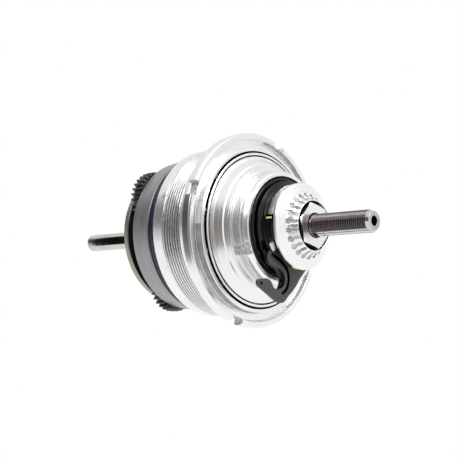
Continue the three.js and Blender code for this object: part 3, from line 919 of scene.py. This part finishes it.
def build_ball_ring():
    outline = rounded([
        (-29.3, 38.3, 0.2), (-28.2, BARREL_RADIUS, 0.4), (-22.6, BARREL_RADIUS, 0), (-11.2, BARREL_RADIUS, 0),
        (-9.3, BARREL_RADIUS, 0.1), (-8.6, BARREL_RADIUS - 0.5, 0.2), (-6.6, BARREL_RADIUS - 0.5, 0.3),
        (-5, BARREL_RADIUS, 0.4), (-5, 44.4, 0.4), (-4.4, FLANGE_RADIUS, 0.4), (-0.8, FLANGE_RADIUS, 0.4),
        (0, 44.2, 0.4), (0, 42.2, 0.3), (-2.6, 41.8, 0.3), (-2.6, 38.4, 0.3), (0.8, 38.2, 0.3),
        (1, 37.8, 0.2),
        (1, 36.4, 0.15), (-0.7, 36.4), (-0.7, 35.7), (-6.4, 35.7), (-6.8, 34.2), (-9, 34.2), (-9, 36.1),
        (-29.3, 36.1),
    ], 0.15)
    outline = subdivided(outline, *BARREL_THREAD, BARREL_PITCH / 12)
    body = revolved_mesh("ball_ring_body", outline, 240, barrel_relief)
    notches = [block_mesh((-2.5, 46.3), (9, 8.4, 6.8), math.radians(a), 0.9, 3) for a in SPANNER_NOTCH_ANGLES]
    mesh = boolean(body, notches)
    piece = piece_for(["ball_ring"], "ball_ring_unit", "ball_ring_detail", mesh, polished)
    start, end = BARREL_THREAD
    paint_faces(piece, barrel_thread, lambda s, r, angle, normal: start < s < end and r > 38)
    paint_faces(piece, shadow, lambda s, r, angle, normal: r < 36.6 and s > -10)
    # painted shade: arcs of the groove walls get the darker recess steel
    paint_faces(piece, recess_steel, on_shaded_groove_wall)
    paint_faces(piece, notch_steel,
                lambda s, r, angle, normal: -4.9 < s < -0.1 and 42 < r < 44.7 and abs(normal.y) < 0.5)


def build_dust_shield():
    outline = rounded([
        (0.6, 34.4), (0.6, 35.6), (1.4, 35.6, 0), (1.7, 35.6, 0.2), (1.9, 35.3, 0.2), (1.9, 34.6, 0.2),
        (1.5, 34.4, 0),
    ])
    mesh = revolved_mesh("dust_shield_detail", outline, 192)
    piece = piece_for(["dust_shield"], "ball_ring_unit", "dust_shield_detail", mesh,
                      polished)
    paint_faces(piece, shadow, lambda s, r, angle, normal: s < 1.5)


# ---- carried-over CAD pieces ----

def dress_cad_nodes():
    """Gives every CAD node its slot's material and smooth shading."""
    for entry in frame["record"]["subparts"]:
        mesh = frame["nodes"][entry["node"]].data
        mesh.materials.clear()
        mesh.materials.append(SLOT_MATERIALS[entry["material_slot"]])
        mesh.shade_smooth()
        mesh.set_sharp_from_angle(angle=math.radians(35))


# ---- studio ----

CAMERA_PLACE = Vector((-377.5, -355.9, -19.9)) * MM
CAMERA_HEADING = math.radians(42.6)
CAMERA_PITCH = math.radians(2.34)
CAMERA_ROLL = math.radians(2.54)
FLOOR_LEVEL = -46 * MM
WHITE = (1, 1, 1)
BLACK = (0.004, 0.004, 0.004)


def camera_axes():
    """Right, up and forward vectors of the camera."""
    forward = Vector((math.cos(CAMERA_PITCH) * math.cos(CAMERA_HEADING),
                      math.cos(CAMERA_PITCH) * math.sin(CAMERA_HEADING), math.sin(CAMERA_PITCH)))
    level = forward.cross(Vector((0, 0, 1))).normalized()
    right = Matrix.Rotation(CAMERA_ROLL, 3, forward) @ level
    return right, right.cross(forward), forward


def build_camera():
    right, up, forward = camera_axes()
    data = bpy.data.cameras.new("camera")
    data.lens = 85
    data.sensor_width = 36
    data.clip_start = 0.02
    data.clip_end = 20
    camera = bpy.data.objects.new("camera", data)
    turn = Matrix((right, up, -forward)).transposed()
    camera.matrix_world = Matrix.Translation(CAMERA_PLACE) @ turn.to_4x4()
    bpy.context.scene.collection.objects.link(camera)
    bpy.context.scene.camera = camera


def glow(name, color):
    """A plain emitting material for the backdrop and the reflection cards."""
    material = bpy.data.materials.new(name)
    material.use_nodes = True
    tree = material.node_tree
    tree.nodes.clear()
    emission = node(tree, "ShaderNodeEmission")
    emission.inputs["Color"].default_value = (*color, 1)
    output = node(tree, "ShaderNodeOutputMaterial")
    tree.links.new(emission.outputs[0], output.inputs[0])
    return material


def studio_point(sideways, upwards, towards_camera):
    """A point in metres along the camera's right, straight up, and back towards the camera."""
    right, _, forward = camera_axes()
    flat_right = Vector((right.x, right.y, 0)).normalized()
    flat_back = -Vector((forward.x, forward.y, 0)).normalized()
    return flat_right * sideways + Vector((0, 0, upwards)) + flat_back * towards_camera


def staged(name, points, faces, color):
    """A glowing sheet that belongs to the studio, not to the object."""
    mesh = bpy.data.meshes.new(name)
    mesh.from_pydata(points, [], faces)
    mesh.materials.append(glow(name + "_glow", color))
    made = bpy.data.objects.new(name, mesh)
    bpy.context.scene.collection.objects.link(made)
    return made


def card(name, headings, elevations, distance, color, steps=16):
    """A curved card round the object, between two headings and two elevations in degrees. It shows in
    reflections only."""
    columns = [math.radians(headings[0] + (headings[1] - headings[0]) * k / steps) for k in range(steps + 1)]
    heights = [distance * math.tan(math.radians(e)) for e in elevations]
    points = [(distance * math.cos(a), distance * math.sin(a), h) for a in columns for h in heights]
    faces = [(2 * k, 2 * k + 2, 2 * k + 3, 2 * k + 1) for k in range(steps)]
    made = staged(name, points, faces, color)
    made.visible_camera = False


def flag(name, stretch, levels, depth, color, steps=8):
    """A card beside the axle, shaped so that the left side of one stretch of the axle, from one Y to another
    in metres, mirrors it towards the camera. Levels are the upward parts of the mirrored directions."""
    _, _, forward = camera_axes()
    points = []
    for k in range(steps + 1):
        up = levels[0] + (levels[1] - levels[0]) * k / steps
        run = math.sqrt(1 - forward.y ** 2 - up ** 2)
        points += [(-depth, y + depth * forward.y / run, depth * up / run) for y in stretch]
    made = staged(name, points, [(2 * k, 2 * k + 1, 2 * k + 3, 2 * k + 2) for k in range(steps)], color)
    made.visible_camera = False


def area_light(name, place, size, energy):
    """A soft rectangular light that faces the object."""
    data = bpy.data.lights.new(name, "AREA")
    data.shape = "RECTANGLE"
    data.size, data.size_y = size
    data.energy = energy
    made = bpy.data.objects.new(name, data)
    made.matrix_world = Matrix.Translation(place) @ place.to_track_quat("Z", "Y").to_matrix().to_4x4()
    made.visible_camera = False
    bpy.context.scene.collection.objects.link(made)


def build_floor():
    """A white floor and a white wall behind the object."""
    reach, distance, height = 8, 4, 2
    _, _, forward = camera_axes()
    back = Vector((forward.x, forward.y, 0)).normalized()
    side = Vector((back.y, -back.x, 0)) * reach
    corners = ((-reach, -reach), (reach, -reach), (reach, reach), (-reach, reach))
    floor = [Vector((x, y, FLOOR_LEVEL)) for x, y in corners]
    foot = back * distance
    foot.z = FLOOR_LEVEL
    top = foot + Vector((0, 0, height))
    staged("floor", floor, [(0, 1, 2, 3)], WHITE)
    staged("backdrop", [foot - side, foot + side, top + side, top - side], [(0, 1, 2, 3)], WHITE)


def build_studio():
    world = bpy.data.worlds.new("studio")
    bpy.context.scene.world = world
    world.use_nodes = True
    background = world.node_tree.nodes["Background"]
    background.inputs["Color"].default_value = (1, 1, 1, 1)
    background.inputs["Strength"].default_value = 0.88
    bpy.context.scene.view_settings.view_transform = "Standard"
    build_floor()
    card("left_core", (110, 172), (7, 31), 1.20, (0.17, 0.17, 0.17))
    card("left_edge", (100, 178), (-2, 36), 1.26, (0.58, 0.58, 0.58))
    card("front_card", (176, 238), (-2, 33), 1.32, (0.18, 0.165, 0.155))
    card("front_low", (192, 240), (-19, 0), 0.13, (0.24, 0.22, 0.21))
    card("back_low", (20, 70), (-7, -1.5), 0.36, (0.12, 0.11, 0.09))
    flag("stub_flag", (0.030, 0.095), (-0.55, 0.66), 0.045, BLACK)
    flag("axle_flag", (-0.094, -0.055), (-0.33, 0.5), 0.09, BLACK)
    flag("seat_flag", (-0.041, -0.035), (-0.3, 0.62), 0.147, (0.16, 0.15, 0.145))
    area_light("key", studio_point(0.7, 0.9, 0.6), (0.6, 0.6), 8)
    area_light("fill", studio_point(-0.6, 0.8, 0.7), (0.7, 0.4), 4)


dress_cad_nodes()
build_axle()
build_lock_washer()
build_locknut()
build_pulley()
build_guide_ring()
build_arm()
build_spring()
build_driver()
build_dust_cap()
build_far_planets()
build_ring_gear_2()
build_seal_band()
build_end_plate()
build_ball_ring()
build_dust_shield()
build_camera()
build_studio()

bpy.context.view_layer.update()
